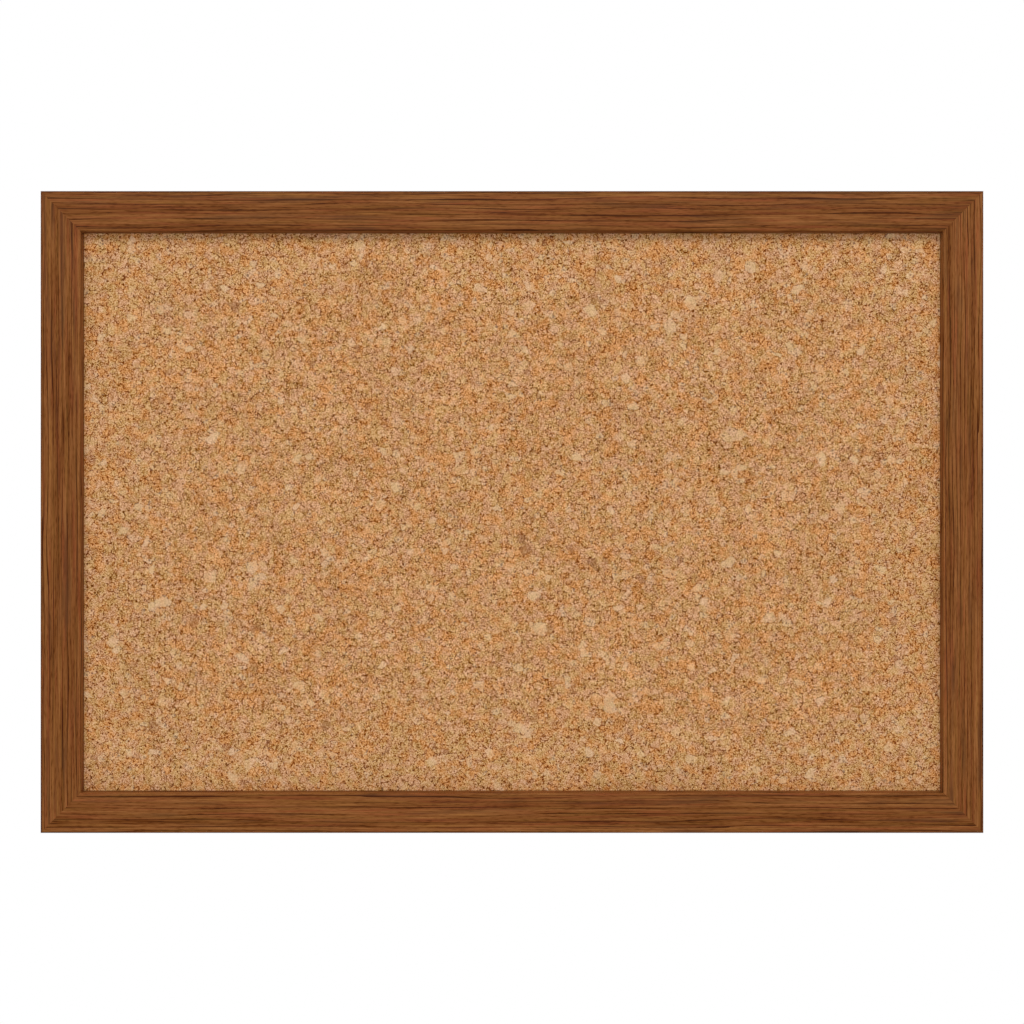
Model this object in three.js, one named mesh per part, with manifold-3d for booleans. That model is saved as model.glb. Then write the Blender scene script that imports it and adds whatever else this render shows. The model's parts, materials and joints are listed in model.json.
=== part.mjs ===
// A framed cork board for a wall, with 430 by 280 mm of cork to pin notes on.
// Four mitred oak rails hold a panel of cork, softboard and hardboard in their rabbet. Wedges join
// the corners, flat points hold the panel in, and two ring hangers and two bumpers meet the wall.
// Millimetres. X runs to the right and Z up as the board hangs, and Y runs from the cork to the
// wall. The origin is on the wall, behind the middle of the board.
import * as THREE from 'three';
import { mergeVertices } from 'three/addons/utils/BufferGeometryUtils.js';
import Module from 'manifold-3d';

const wasm = await Module();
wasm.setup();

// The field of cork that shows, and the section of the oak round it
const openingWidth = 430;
const openingHeight = 280;
const railWidth = 20;
const lapWidth = 6; // how far the lip reaches over the panel
const lipThickness = 6.3;
const outerEdgeRadius = 1.2;
const sightEdgeRadius = 1.1;
const backArris = 0.5; // flat taken off the sharp corners at the back
const glueLine = 0.1; // between two rails at a mitre

// The panel, from front to back
const corkThickness = 3;
const corkRise = 0.3; // the free cork stands this far proud of the edge that the lip squeezes
const coreThickness = 6;
const backPanelThickness = 1.5;
const backRecess = 2.2; // from the hardboard to the back of the frame
const panelClearance = 1; // from the panel's edge to the rabbet
const fieldClearance = 0.2; // from the free cork to the lip

// Steel wedges, two across each mitre, with one leg in each rail
const wedgeLeg = 7;
const wedgeThickness = 0.5;
const wedgeCurl = 1.2; // the turned end of each leg
const wedgeDepth = 9;
const wedgeSink = 0.3; // below the back of the frame
const wedgePlaceShares = [0.3, 0.68]; // of the back land's width, from the outer edge

// Flat steel points, driven into the rabbet's wall so that they lie on the hardboard
const pointLength = 16;
const pointDriven = 8; // the length inside the wood
const pointWidth = 5.5;
const pointThickness = 0.6;
const pointTip = 3.5; // length of the sharpened end
const railPointCount = 3;
const railPointPitch = 150;
const stilePointCount = 2;
const stilePointPitch = 140;

// Ring hangers: a folded steel strap, a wire ring and a screw on the back of each stile
const hangerDrop = 60; // from the top of the frame to the ring's pivot
const wireRadius = 0.9;
const ringSideClearance = 1; // from each side of the strap to the ring
const ringInnerReach = 7.5; // from the bar to the inside of the bow
const ringCornerRadius = 1.4; // on the wire's centre line, beside the bar
const ringSeatGap = 0.2; // from the hanging bow to the strap that it lies on
const loopClearance = 0.2; // between the wire and the strap's loop
const strapThickness = 0.7;
const strapWidth = 7;
const strapEndLength = 4.5; // from the screw to the rounded end
const strapFoldGap = 0.1; // between the two leaves
const screwRingGap = 3.2; // from the ring's bow to the screw's head
const screwLength = 12; // under the head
const screwRadius = 1.5; // over the threads
const screwThreadDepth = 0.4;
const screwThreadPitch = 1.2;
const screwTipLength = 3;
const screwHeadRadius = 3.1;
const screwHeadHeight = 1.8;
const recessLength = 3.6; // of the cross in the head
const recessWidth = 0.8;
const recessDepth = 1.1;
const screwHoleClearance = 0.3; // round the screw in the strap
const hangerWallGap = 0.2; // from the straps' loops to the wall

// Rubber bumpers on the bottom rail, which keep the board upright against the wall
const bumperRadius = 4.75;
const bumperEdgeRadius = 1.4;
const bumperInset = 38; // from the side of the frame

// Fits and steps that serve every piece
const fitClearance = 0.15; // round a fastener in the wood
const overrun = 1; // past a face, for every cut
const arcSteps = 5; // straight pieces in a quarter of a turned edge
const wireSides = 10;
const ringSteps = 64;
const roundSteps = 24;

// Sizes that follow
const landWidth = railWidth - lapWidth;
const frameDepth = lipThickness + corkThickness + coreThickness + backPanelThickness + backRecess;
const frameWidth = openingWidth + 2 * railWidth;
const frameHeight = openingHeight + 2 * railWidth;
const panelWidth = openingWidth + 2 * (lapWidth - panelClearance);
const panelHeight = openingHeight + 2 * (lapWidth - panelClearance);
const loopInnerRadius = wireRadius + loopClearance;
const loopOuterRadius = loopInnerRadius + strapThickness;
const foldedThickness = 2 * strapThickness + strapFoldGap;
const ringInnerWidth = strapWidth + 2 * ringSideClearance;
const ringReach = ringInnerReach + 2 * wireRadius; // from the bar to the bow, along the wire's middle
const ringLift = foldedThickness + ringSeatGap + wireRadius - loopOuterRadius;
const ringRestAngle = Math.asin(ringLift / ringReach);
const bumperHeight = 2 * loopOuterRadius + hangerWallGap;
const frameBackY = -bumperHeight;
const frameFrontY = frameBackY - frameDepth;
const lipBackY = frameFrontY + lipThickness;
const coreFrontY = lipBackY + corkThickness;
const backPanelFrontY = coreFrontY + coreThickness;
const backPanelBackY = backPanelFrontY + backPanelThickness;
const screwDrop = ringReach + wireRadius + screwRingGap + screwHeadRadius; // below the pivot
const strapLength = screwDrop + strapEndLength; // below the pivot
const hangerZ = frameHeight / 2 - hangerDrop;
const pilotDepth = screwLength - foldedThickness + fitClearance;

const oak = new THREE.MeshStandardMaterial({ color: 0x7b4a27, roughness: 0.5, metalness: 0 });
const cork = new THREE.MeshStandardMaterial({ color: 0xbb8c5e, roughness: 0.95, metalness: 0 });
const softboard = new THREE.MeshStandardMaterial({ color: 0xa58c68, roughness: 1, metalness: 0 });
const hardboard = new THREE.MeshStandardMaterial({ color: 0x6d4a2e, roughness: 0.75, metalness: 0 });
const zincSteel = new THREE.MeshStandardMaterial({ color: 0xc0c2c4, roughness: 0.35, metalness: 1 });
const bareSteel = new THREE.MeshStandardMaterial({ color: 0x8d8f92, roughness: 0.45, metalness: 1 });
const rubber = new THREE.MeshStandardMaterial({ color: 0x2c2b2a, roughness: 0.8, metalness: 0 });

// A closed geometry as a solid that can be cut and joined, and a solid back as a geometry
function toSolid(geometry) {
  const bare = geometry.clone();
  bare.deleteAttribute('normal');
  bare.deleteAttribute('uv');
  const merged = mergeVertices(bare);
  return new wasm.Manifold(new wasm.Mesh({
    numProp: 3,
    vertProperties: merged.attributes.position.array,
    triVerts: new Uint32Array(merged.index.array),
  }));
}

function toGeometry(solid) {
  const mesh = solid.getMesh();
  const geometry = new THREE.BufferGeometry();
  geometry.setAttribute('position', new THREE.BufferAttribute(mesh.vertProperties, 3));
  geometry.setIndex(new THREE.BufferAttribute(mesh.triVerts, 1));
  geometry.computeVertexNormals();
  return geometry;
}

function node(name, geometry, material) {
  const mesh = new THREE.Mesh(geometry, material);
  mesh.name = name;
  return mesh;
}

// An outline drawn in X and Z, as a plate that runs from nearY to farY
function plate(outline, nearY, farY) {
  const options = { depth: farY - nearY, bevelEnabled: false, curveSegments: arcSteps };
  const geometry = new THREE.ExtrudeGeometry(outline, options);
  geometry.rotateX(Math.PI / 2); // the extrusion now runs towards the front
  geometry.translate(0, farY, 0);
  return geometry;
}

function block(width, height, nearY, farY) {
  const geometry = new THREE.BoxGeometry(width, farY - nearY, height);
  geometry.translate(0, (nearY + farY) / 2, 0);
  return geometry;
}

function shapeOf(points) {
  return new THREE.Shape(points.map(([x, z]) => new THREE.Vector2(x, z)));
}

// A wedge seen from the back: an angle with its corner on the mitre, its legs along -X and -Z and
// their ends turned in. A margin all round gives the pocket that the wedge sits in.
function wedgeOutline(margin) {
  const outer = wedgeThickness / 2 + margin;
  const end = wedgeLeg + margin;
  const bend = wedgeLeg - wedgeCurl;
  const oneLeg = [
    [-outer, -outer],
    [-bend, -outer],
    [-end, -outer - wedgeCurl],
    [-end, outer - wedgeCurl],
    [-bend, outer],
  ];
  const otherLeg = oneLeg.slice(1).reverse().map(([x, z]) => [z, x]);
  return shapeOf([...oneLeg, [outer, outer], ...otherLeg]);
}

// A point seen from the back, driven towards +Z, with its middle on X = 0 and the wood's face on
// Z = 0. A margin all round gives the slot that its driven end sits in.
function pointOutline(margin) {
  const half = pointWidth / 2 + margin;
  const tipZ = pointDriven + margin;
  const tailZ = pointDriven - pointLength - margin;
  return shapeOf([
    [0, tipZ],
    [-half, tipZ - pointTip],
    [-half, tailZ + half],
    [-half / 2, tailZ],
    [half / 2, tailZ],
    [half, tailZ + half],
    [half, tipZ - pointTip],
  ]);
}

// The section of a rail: across it from the outer edge, and back from the front face
function railSection() {
  const section = new THREE.Shape();
  const sightCentre = railWidth - sightEdgeRadius;
  section.moveTo(0, outerEdgeRadius);
  section.absarc(outerEdgeRadius, outerEdgeRadius, outerEdgeRadius, Math.PI, 1.5 * Math.PI, false);
  section.absarc(sightCentre, sightEdgeRadius, sightEdgeRadius, -Math.PI / 2, 0, false);
  section.lineTo(railWidth, lipThickness);
  section.lineTo(landWidth, lipThickness);
  section.lineTo(landWidth, frameDepth - backArris);
  section.lineTo(landWidth - backArris, frameDepth);
  section.lineTo(backArris, frameDepth);
  section.lineTo(0, frameDepth - backArris);
  return section;
}

// The places of evenly spaced pieces on a line through 0
function spread(count, pitch) {
  return Array.from({ length: count }, (_, i) => (i - (count - 1) / 2) * pitch);
}

// A rail that lies along X with its outer edge at Z = reach, mitred at both ends, with the pockets
// and slots of its fasteners. pilotX is the place of a hanger's screw, if it carries one.
function railGeometry(length, reach, pointPlaces, pilotX) {
  const unit = new THREE.ExtrudeGeometry(railSection(), {
    depth: 1,
    bevelEnabled: false,
    curveSegments: arcSteps,
  });
  const position = unit.attributes.position;
  for (let i = 0; i < position.count; i += 1) {
    const across = position.getX(i);
    const end = position.getZ(i) === 0 ? -1 : 1;
    const mitreX = length / 2 - across - glueLine / 2;
    position.setXYZ(i, end * mitreX, frameFrontY + position.getY(i), reach - across);
  }
  let solid = toSolid(unit);

  const pocketY = frameBackY - wedgeSink - wedgeDepth - fitClearance;
  for (const share of wedgePlaceShares) {
    const across = share * landWidth;
    const rightPocket = plate(wedgeOutline(fitClearance), pocketY, frameBackY + overrun);
    const leftPocket = rightPocket.clone();
    leftPocket.rotateY(-Math.PI / 2);
    rightPocket.translate(length / 2 - across, 0, reach - across);
    leftPocket.translate(across - length / 2, 0, reach - across);
    solid = solid.subtract(toSolid(rightPocket)).subtract(toSolid(leftPocket));
  }

  for (const x of pointPlaces) {
    const slotBackY = backPanelBackY + pointThickness + fitClearance;
    const slot = plate(pointOutline(fitClearance), backPanelBackY - fitClearance, slotBackY);
    slot.translate(x, 0, reach - landWidth);
    solid = solid.subtract(toSolid(slot));
  }

  if (pilotX !== undefined) {
    const pilotRadius = screwRadius + fitClearance;
    const pilot = new THREE.CylinderGeometry(pilotRadius, pilotRadius, pilotDepth + overrun, roundSteps);
    pilot.translate(pilotX, frameBackY + (overrun - pilotDepth) / 2, reach - landWidth / 2);
    solid = solid.subtract(toSolid(pilot));
  }
  return toGeometry(solid);
}

// One side of the frame: the rail, and the points that are driven into it
function frameSide(name, label, length, reach, pointPlaces, pilotX) {
  const side = new THREE.Group();
  side.add(node(name, railGeometry(length, reach, pointPlaces, pilotX), oak));
  pointPlaces.forEach((x, i) => {
    const outline = pointOutline(0);
    const geometry = plate(outline, backPanelBackY, backPanelBackY + pointThickness);
    const point = node(`point_${label}_${i + 1}`, geometry, bareSteel);
    point.position.set(x, 0, reach - landWidth);
    side.add(point);
  });
  return side;
}

function frame() {
  const group = new THREE.Group();
  const railPoints = spread(railPointCount, railPointPitch);
  const stilePoints = spread(stilePointCount, stilePointPitch);
  const pilotX = hangerZ - screwDrop;
  const top = frameSide('top_rail', 'top', frameWidth, frameHeight / 2, railPoints);
  const bottom = frameSide('bottom_rail', 'bottom', frameWidth, frameHeight / 2, railPoints);
  const left = frameSide('left_stile', 'left', frameHeight, frameWidth / 2, stilePoints, pilotX);
  const right = frameSide('right_stile', 'right', frameHeight, frameWidth / 2, stilePoints, -pilotX);
  bottom.rotation.y = Math.PI;
  left.rotation.y = -Math.PI / 2;
  right.rotation.y = Math.PI / 2;
  group.add(top, bottom, left, right);
  return group;
}

// The wedges of the four corners, drawn for the top right corner and turned to the others
function cornerWedges() {
  const group = new THREE.Group();
  const corners = [
    ['top_right', 1, 1, 0],
    ['bottom_right', 1, -1, Math.PI / 2],
    ['bottom_left', -1, -1, Math.PI],
    ['top_left', -1, 1, -Math.PI / 2],
  ];
  const backY = frameBackY - wedgeSink;
  const geometry = plate(wedgeOutline(0), backY - wedgeDepth, backY);
  for (const [label, sideX, sideZ, turn] of corners) {
    wedgePlaceShares.forEach((share, i) => {
      const across = share * landWidth;
      const wedge = node(`wedge_${label}_${i + 1}`, geometry, bareSteel);
      wedge.position.set(sideX * (frameWidth / 2 - across), 0, sideZ * (frameHeight / 2 - across));
      wedge.rotation.y = turn;
      group.add(wedge);
    });
  }
  return group;
}

function panel() {
  const group = new THREE.Group();
  const fieldWidth = openingWidth - 2 * fieldClearance;
  const fieldHeight = openingHeight - 2 * fieldClearance;
  const squeezed = toSolid(block(panelWidth, panelHeight, lipBackY, coreFrontY));
  const field = toSolid(block(fieldWidth, fieldHeight, lipBackY - corkRise, coreFrontY));
  group.add(node('cork_sheet', toGeometry(squeezed.add(field)), cork));
  const core = block(panelWidth, panelHeight, coreFrontY, backPanelFrontY);
  group.add(node('core_board', core, softboard));
  const back = block(panelWidth, panelHeight, backPanelFrontY, backPanelBackY);
  group.add(node('back_panel', back, hardboard));
  return group;
}

// The strap's strip, seen from its side with Y out from the wood and Z up: it comes up along the
// wood, turns round the ring's bar and goes down again over itself.
function strapGeometry() {
  const inner = loopInnerRadius;
  const outer = loopOuterRadius;
  const topLeafY = strapThickness + strapFoldGap;
  const outerMeet = Math.asin((outer - foldedThickness) / outer);
  const innerMeet = Math.asin((outer - topLeafY) / inner);
  const strip = new THREE.Shape();
  strip.moveTo(0, -strapLength);
  strip.absarc(outer, 0, outer, Math.PI, -Math.PI / 2 - outerMeet, true);
  strip.lineTo(foldedThickness, -strapLength);
  strip.lineTo(topLeafY, -strapLength);
  strip.absarc(outer, 0, inner, -Math.PI / 2 - innerMeet, Math.PI, false);
  strip.lineTo(strapThickness, -strapLength);
  const folded = new THREE.ExtrudeGeometry(strip, {
    depth: strapWidth,
    bevelEnabled: false,
    curveSegments: 2 * arcSteps,
  });
  const across = new THREE.Vector3(1, 0, 0);
  const out = new THREE.Vector3(0, 1, 0);
  const up = new THREE.Vector3(0, 0, 1);
  folded.applyMatrix4(new THREE.Matrix4().makeBasis(out, up, across));
  folded.translate(-strapWidth / 2, 0, 0);

  const half = strapWidth / 2;
  const top = outer + overrun;
  const rounded = new THREE.Shape();
  rounded.moveTo(half, top);
  rounded.lineTo(-half, top);
  rounded.absarc(0, half - strapLength, half, Math.PI, 2 * Math.PI, false);
  const face = plate(rounded, -overrun, 2 * outer + overrun);
  const holeRadius = screwRadius + screwHoleClearance;
  const holeLength = foldedThickness + 2 * overrun;
  const hole = new THREE.CylinderGeometry(holeRadius, holeRadius, holeLength, roundSteps);
  hole.translate(0, foldedThickness / 2, -screwDrop);
  return toGeometry(toSolid(folded).intersect(toSolid(face)).subtract(toSolid(hole)));
}

// The ring hangs along -Z from its bar, which lies along X through the origin
function ringGeometry() {
  const half = ringInnerWidth / 2 + wireRadius;
  const leg = ringReach - half;
  const corner = ringCornerRadius;
  const path = new THREE.Path();
  path.moveTo(corner - half, 0);
  path.absarc(half - corner, -corner, corner, Math.PI / 2, 0, true);
  path.absarc(0, -leg, half, 0, -Math.PI, true);
  path.absarc(corner - half, -corner, corner, Math.PI, Math.PI / 2, true);
  const centres = path.getSpacedPoints(ringSteps).slice(0, ringSteps);

  const vertices = [];
  const faces = [];
  centres.forEach((centre, i) => {
    const next = centres[(i + 1) % ringSteps];
    const before = centres[(i + ringSteps - 1) % ringSteps];
    const along = next.clone().sub(before).normalize();
    for (let k = 0; k < wireSides; k += 1) {
      const angle = (2 * Math.PI * k) / wireSides;
      const side = wireRadius * Math.cos(angle);
      const rise = wireRadius * Math.sin(angle);
      vertices.push(centre.x - along.y * side, rise, centre.y + along.x * side);
      const here = i * wireSides + k;
      const beside = i * wireSides + ((k + 1) % wireSides);
      const ahead = ((i + 1) % ringSteps) * wireSides + k;
      const aheadBeside = ((i + 1) % ringSteps) * wireSides + ((k + 1) % wireSides);
      faces.push(here, ahead, beside, beside, ahead, aheadBeside);
    }
  });
  const geometry = new THREE.BufferGeometry();
  geometry.setAttribute('position', new THREE.Float32BufferAttribute(vertices, 3));
  geometry.setIndex(faces);
  geometry.computeVertexNormals();
  return geometry;
}

// A pan-head wood screw along Y, with the underside of its head at Y = 0 and its tip towards -Y
function screwGeometry() {
  const core = screwRadius - screwThreadDepth;
  const profile = [new THREE.Vector2(0, -screwLength)];
  const threadStart = screwTipLength - screwLength;
  const threadCount = Math.floor((screwLength - screwTipLength) / screwThreadPitch) - 1;
  profile.push(new THREE.Vector2(core, threadStart));
  for (let i = 0; i < threadCount; i += 1) {
    const y = threadStart + (i + 0.5) * screwThreadPitch;
    profile.push(new THREE.Vector2(screwRadius, y));
    profile.push(new THREE.Vector2(core, y + screwThreadPitch / 2));
  }
  profile.push(new THREE.Vector2(core, 0));
  const rim = screwHeadHeight / 3;
  profile.push(new THREE.Vector2(screwHeadRadius, 0));
  for (let i = 0; i < arcSteps; i += 1) {
    const angle = (Math.PI / 2) * (i / arcSteps);
    const y = rim + (screwHeadHeight - rim) * Math.sin(angle);
    profile.push(new THREE.Vector2(screwHeadRadius * Math.cos(angle), y));
  }
  profile.push(new THREE.Vector2(0, screwHeadHeight));
  let solid = toSolid(new THREE.LatheGeometry(profile, roundSteps));
  const floor = screwHeadHeight - recessDepth;
  for (const [width, height] of [[recessLength, recessWidth], [recessWidth, recessLength]]) {
    solid = solid.subtract(toSolid(block(width, height, floor, screwHeadHeight + overrun)));
  }
  return toGeometry(solid);
}

function hanger(label, x) {
  const group = new THREE.Group();
  group.add(node(`hanger_strap_${label}`, strapGeometry(), zincSteel));
  const ring = node(`hanger_ring_${label}`, ringGeometry(), zincSteel);
  ring.position.y = loopOuterRadius;
  ring.rotation.x = ringRestAngle;
  const screw = node(`hanger_screw_${label}`, screwGeometry(), zincSteel);
  screw.position.set(0, foldedThickness, -screwDrop);
  group.add(ring, screw);
  group.position.set(x, frameBackY, hangerZ);
  return group;
}

function bumper(label, x) {
  const profile = [new THREE.Vector2(0, 0), new THREE.Vector2(bumperRadius, 0)];
  const shoulder = bumperRadius - bumperEdgeRadius;
  for (let i = 0; i <= arcSteps; i += 1) {
    const angle = (Math.PI / 2) * (i / arcSteps);
    const r = shoulder + bumperEdgeRadius * Math.cos(angle);
    const y = bumperHeight - bumperEdgeRadius + bumperEdgeRadius * Math.sin(angle);
    profile.push(new THREE.Vector2(r, y));
  }
  profile.push(new THREE.Vector2(0, bumperHeight));
  const pad = node(`bumper_${label}`, new THREE.LatheGeometry(profile, roundSteps), rubber);
  pad.position.set(x, frameBackY, (landWidth - frameHeight) / 2);
  return pad;
}

const corkBoard = new THREE.Group();
const hangerX = (frameWidth - landWidth) / 2;
const bumperX = frameWidth / 2 - bumperInset;
corkBoard.add(frame(), cornerWedges(), panel());
corkBoard.add(hanger('left', -hangerX), hanger('right', hangerX));
corkBoard.add(bumper('left', -bumperX), bumper('right', bumperX));

export default corkBoard;
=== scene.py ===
# %% [markdown]
# # A framed cork board
# Four mitred oak rails hold a sheet of cork, and two ring hangers behind carry it on a wall.
# The solids with the true sizes are loaded first. Every piece made here goes where they are.

# %% Load the solids
import json
import math

import bmesh
import bpy
from mathutils import Matrix, Vector


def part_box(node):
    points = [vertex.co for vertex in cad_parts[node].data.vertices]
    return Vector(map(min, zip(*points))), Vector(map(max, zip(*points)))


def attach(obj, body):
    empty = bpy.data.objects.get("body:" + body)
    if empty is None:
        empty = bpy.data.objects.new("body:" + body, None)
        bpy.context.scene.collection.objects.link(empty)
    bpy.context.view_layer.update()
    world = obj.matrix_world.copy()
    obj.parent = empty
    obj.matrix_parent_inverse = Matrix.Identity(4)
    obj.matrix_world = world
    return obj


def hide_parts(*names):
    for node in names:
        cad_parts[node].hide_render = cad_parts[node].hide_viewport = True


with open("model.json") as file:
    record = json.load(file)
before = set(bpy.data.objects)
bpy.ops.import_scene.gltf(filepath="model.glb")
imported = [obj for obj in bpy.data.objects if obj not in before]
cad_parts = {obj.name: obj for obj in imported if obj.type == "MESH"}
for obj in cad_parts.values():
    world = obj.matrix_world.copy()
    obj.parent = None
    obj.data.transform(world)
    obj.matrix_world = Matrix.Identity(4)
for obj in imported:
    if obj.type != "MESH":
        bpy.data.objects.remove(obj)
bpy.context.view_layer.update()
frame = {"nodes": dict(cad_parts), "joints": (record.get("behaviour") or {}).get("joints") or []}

# %% [markdown]
# ## Sizes
# Blender works in metres and a joiner in millimetres, so a size below is written as a number of mm.
# Whatever the solids already say is read from their boxes. Only the sizes that a box can't show,
# such as the radius of a rounded edge, are written again.

# %% Sizes that the pieces share
mm = 0.001
rail_low, rail_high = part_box("top_rail")
front_y = rail_low.y
back_y = rail_high.y
reach_z = rail_high.z
reach_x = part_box("right_stile")[1].x
rail_width = rail_high.z - rail_low.z
lip_thickness = 6.3 * mm
land_width = 14 * mm
lap_width = rail_width - land_width
opening_x = 2 * (reach_x - rail_width)
opening_z = 2 * (reach_z - rail_width)
glue_line = 0.02 * mm
fit_clearance = 0.15 * mm
same_place = 0.001 * mm  # nearer than this, two corners count as one height
weld = 0.005 * mm  # nearer than this, two vertices are merged
trim_bevel = 0.08 * mm  # on sheared and turned steel
print("opening in mm:", round(opening_x / mm, 1), "by", round(opening_z / mm, 1))

# %% [markdown]
# ## Small helpers
# A colour is easiest to read as the hex value that a paint program shows, but a shader wants it
# linear, so one function turns it. Another adds a node, sets it up and links it in one call, for
# material trees and geometry trees alike, and leaves the inputs to a third, which also serves a
# node that is there already.

# %% Colours and nodes
def linear(hex_colour):
    """A hex sRGB colour, such as 0x7b4a27, as a linear one with full alpha."""
    channels = [(hex_colour >> shift & 255) / 255 for shift in (16, 8, 0)]
    return [c / 12.92 if c <= 0.04045 else ((c + 0.055) / 1.055) ** 2.4 for c in channels] + [1]


def plug(tree, node, inputs):
    """Gives inputs a value, a socket, or a node that stands for its first output."""
    for key, value in inputs.items():
        if isinstance(key, str):
            key = next(i for i, s in enumerate(node.inputs) if s.enabled and s.name == key)
        if isinstance(value, bpy.types.Node):
            value = next(s for s in value.outputs if s.enabled)
        if isinstance(value, bpy.types.NodeSocket):
            tree.links.new(value, node.inputs[key])
        else:
            node.inputs[key].default_value = value


def add(tree, kind, inputs=None, stops=None, **settings):
    """Adds a node with its settings, its inputs and, for a colour ramp, its stops."""
    node = tree.nodes.new(kind)
    for name, value in settings.items():
        setattr(node, name, value)
    plug(tree, node, inputs or {})
    if stops:
        ramp = node.color_ramp.elements
        for place, colour in stops[1:-1]:
            ramp.new(place).color = colour
        ramp[0].position, ramp[0].color = stops[0]
        ramp[-1].position, ramp[-1].color = stops[-1]
    return node


def material(name):
    """A new material: the material, its tree, its shader, and a point's place in millimetres."""
    made = bpy.data.materials.new(name)
    made.use_nodes = True
    tree = made.node_tree
    metres = add(tree, "ShaderNodeTexCoord").outputs["Object"]
    place = add(tree, "ShaderNodeVectorMath", {0: metres, "Scale": 1 / mm}, operation="SCALE")
    return made, tree, tree.nodes["Principled BSDF"], place


# %% [markdown]
# A piece is modelled as by hand: a primitive is placed, shaped in edit mode and finished with
# modifiers. What gets an operator is picked in code, by where it lies. Bent strips and turned
# pieces both begin as a line of edges, which is then extruded or spun.

# %% Modelling by hand, in code
def edit(piece):
    """Selects a piece alone and opens it in edit mode."""
    bpy.ops.object.select_all(action="DESELECT")
    bpy.context.view_layer.objects.active = piece
    piece.select_set(True)
    bpy.ops.object.mode_set(mode="EDIT")


def block(name, low, high):
    """A box between two corners, open in edit mode with nothing selected."""
    low, high = Vector(low), Vector(high)
    bpy.ops.object.select_all(action="DESELECT")
    bpy.ops.mesh.primitive_cube_add(size=1, location=(low + high) / 2, scale=high - low)
    piece = bpy.context.object
    piece.name = name
    bpy.ops.object.transform_apply()
    edit(piece)
    bpy.ops.mesh.select_all(action="DESELECT")
    return piece


def select(piece, kind, test):
    """In edit mode, selects the vertices, edges or faces whose every corner passes a test."""
    bpy.ops.mesh.select_mode(type=kind)
    bpy.ops.mesh.select_all(action="DESELECT")
    mesh = bmesh.from_edit_mesh(piece.data)
    for part in {"VERT": mesh.verts, "EDGE": mesh.edges, "FACE": mesh.faces}[kind]:
        corners = [part] if kind == "VERT" else part.verts
        part.select_set(all(test(corner.co) for corner in corners))
    bmesh.update_edit_mesh(piece.data)


def extrude(step):
    """Extrudes what is selected by a step."""
    bpy.ops.mesh.extrude_region_move(TRANSFORM_OT_translate={"value": step})


def near(a, b):
    """Whether two sizes are the same."""
    return abs(a - b) < same_place


def face_outwards():
    """In edit mode, selects the whole piece and turns its faces outwards."""
    bpy.ops.mesh.select_all(action="SELECT")
    bpy.ops.mesh.normals_make_consistent(inside=False)


def trace(name, points):
    """Draws a line of edges through points, vertex by vertex, and leaves it open in edit mode."""
    bpy.ops.object.select_all(action="DESELECT")
    bpy.ops.mesh.primitive_plane_add(size=mm)
    piece = bpy.context.object
    piece.name = name
    bpy.ops.object.mode_set(mode="EDIT")
    bpy.ops.mesh.select_mode(type="VERT")
    bpy.ops.mesh.merge(type="CENTER")
    bpy.ops.transform.translate(value=points[0])
    for here, there in zip(points, points[1:]):
        extrude(Vector(there) - Vector(here))
    return piece


def turn_round(centre, steps):
    """Spins the whole line of the open piece once round an axis along Y, and closes it."""
    bpy.ops.mesh.select_all(action="SELECT")
    bpy.ops.mesh.spin(steps=steps, angle=2 * math.pi, center=centre, axis=(0, 1, 0))
    bpy.ops.mesh.select_all(action="SELECT")
    bpy.ops.mesh.remove_doubles(threshold=weld)
    face_outwards()


def drill(name, centre, radius, steps, depth):
    """A closed round cutter, which starts at its centre and runs along +Y."""
    piece = trace(name, [centre + Vector((radius, 0, 0))])
    turn_round(centre, steps)
    bpy.ops.mesh.edge_face_add()
    extrude((0, depth, 0))
    face_outwards()
    bpy.ops.object.mode_set(mode="OBJECT")
    return piece


def apply(piece, kind, **settings):
    """Leaves edit mode, adds a modifier to a piece and applies it."""
    if bpy.context.mode != "OBJECT":
        bpy.ops.object.mode_set(mode="OBJECT")
    bpy.context.view_layer.objects.active = piece
    modifier = piece.modifiers.new(kind.title(), kind)
    for name, value in settings.items():
        setattr(modifier, name, value)
    bpy.ops.object.modifier_apply(modifier=modifier.name)


def cut(piece, cutter):
    """Cuts a piece with a closed cutter, which stays."""
    apply(piece, "BOOLEAN", object=cutter, operation="DIFFERENCE", solver="EXACT")


def break_edges(piece, width=trim_bevel, **settings):
    """Takes the sharpness off a piece's edges, as shearing and tumbling do."""
    apply(piece, "BEVEL", width=width, segments=2, limit_method="ANGLE", **settings)


def copy_of(piece, name, turn=0, place=(0, 0, 0)):
    """A copy with its own mesh, turned about Y and then moved to its place."""
    twin = piece.copy()
    twin.data = piece.data.copy()
    twin.name = name
    bpy.context.collection.objects.link(twin)
    twin.data.transform(Matrix.Translation(place) @ Matrix.Rotation(turn, 4, "Y"))
    return twin


def discard(*pieces):
    """Takes away blanks and cutters that have done their work."""
    for piece in pieces:
        bpy.data.objects.remove(piece, do_unlink=True)


def finish(piece, body, finishes, nodes, smooth=35):
    """Smooths a piece, gives it its finishes, hangs it on the body that it rides on and hides the solids
    that it stands for.
    """
    if bpy.context.mode != "OBJECT":
        bpy.ops.object.mode_set(mode="OBJECT")
    bpy.ops.object.select_all(action="DESELECT")
    bpy.context.view_layer.objects.active = piece
    piece.select_set(True)
    bpy.ops.object.transform_apply()
    bpy.ops.object.shade_smooth_by_angle(angle=math.radians(smooth))
    for finish_material in finishes:
        piece.data.materials.append(finish_material)
    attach(piece, body)
    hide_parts(*nodes)
    print(piece.name, "triangles:", sum(len(face.vertices) - 2 for face in piece.data.polygons))


# %% [markdown]
# ## Camera
# The board was photographed straight on. The inner walls of the long rails show 2.5 pixels and
# those of the short ones 3.8, which puts a 50 mm lens about 0.7 m in front of the frame.

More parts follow.
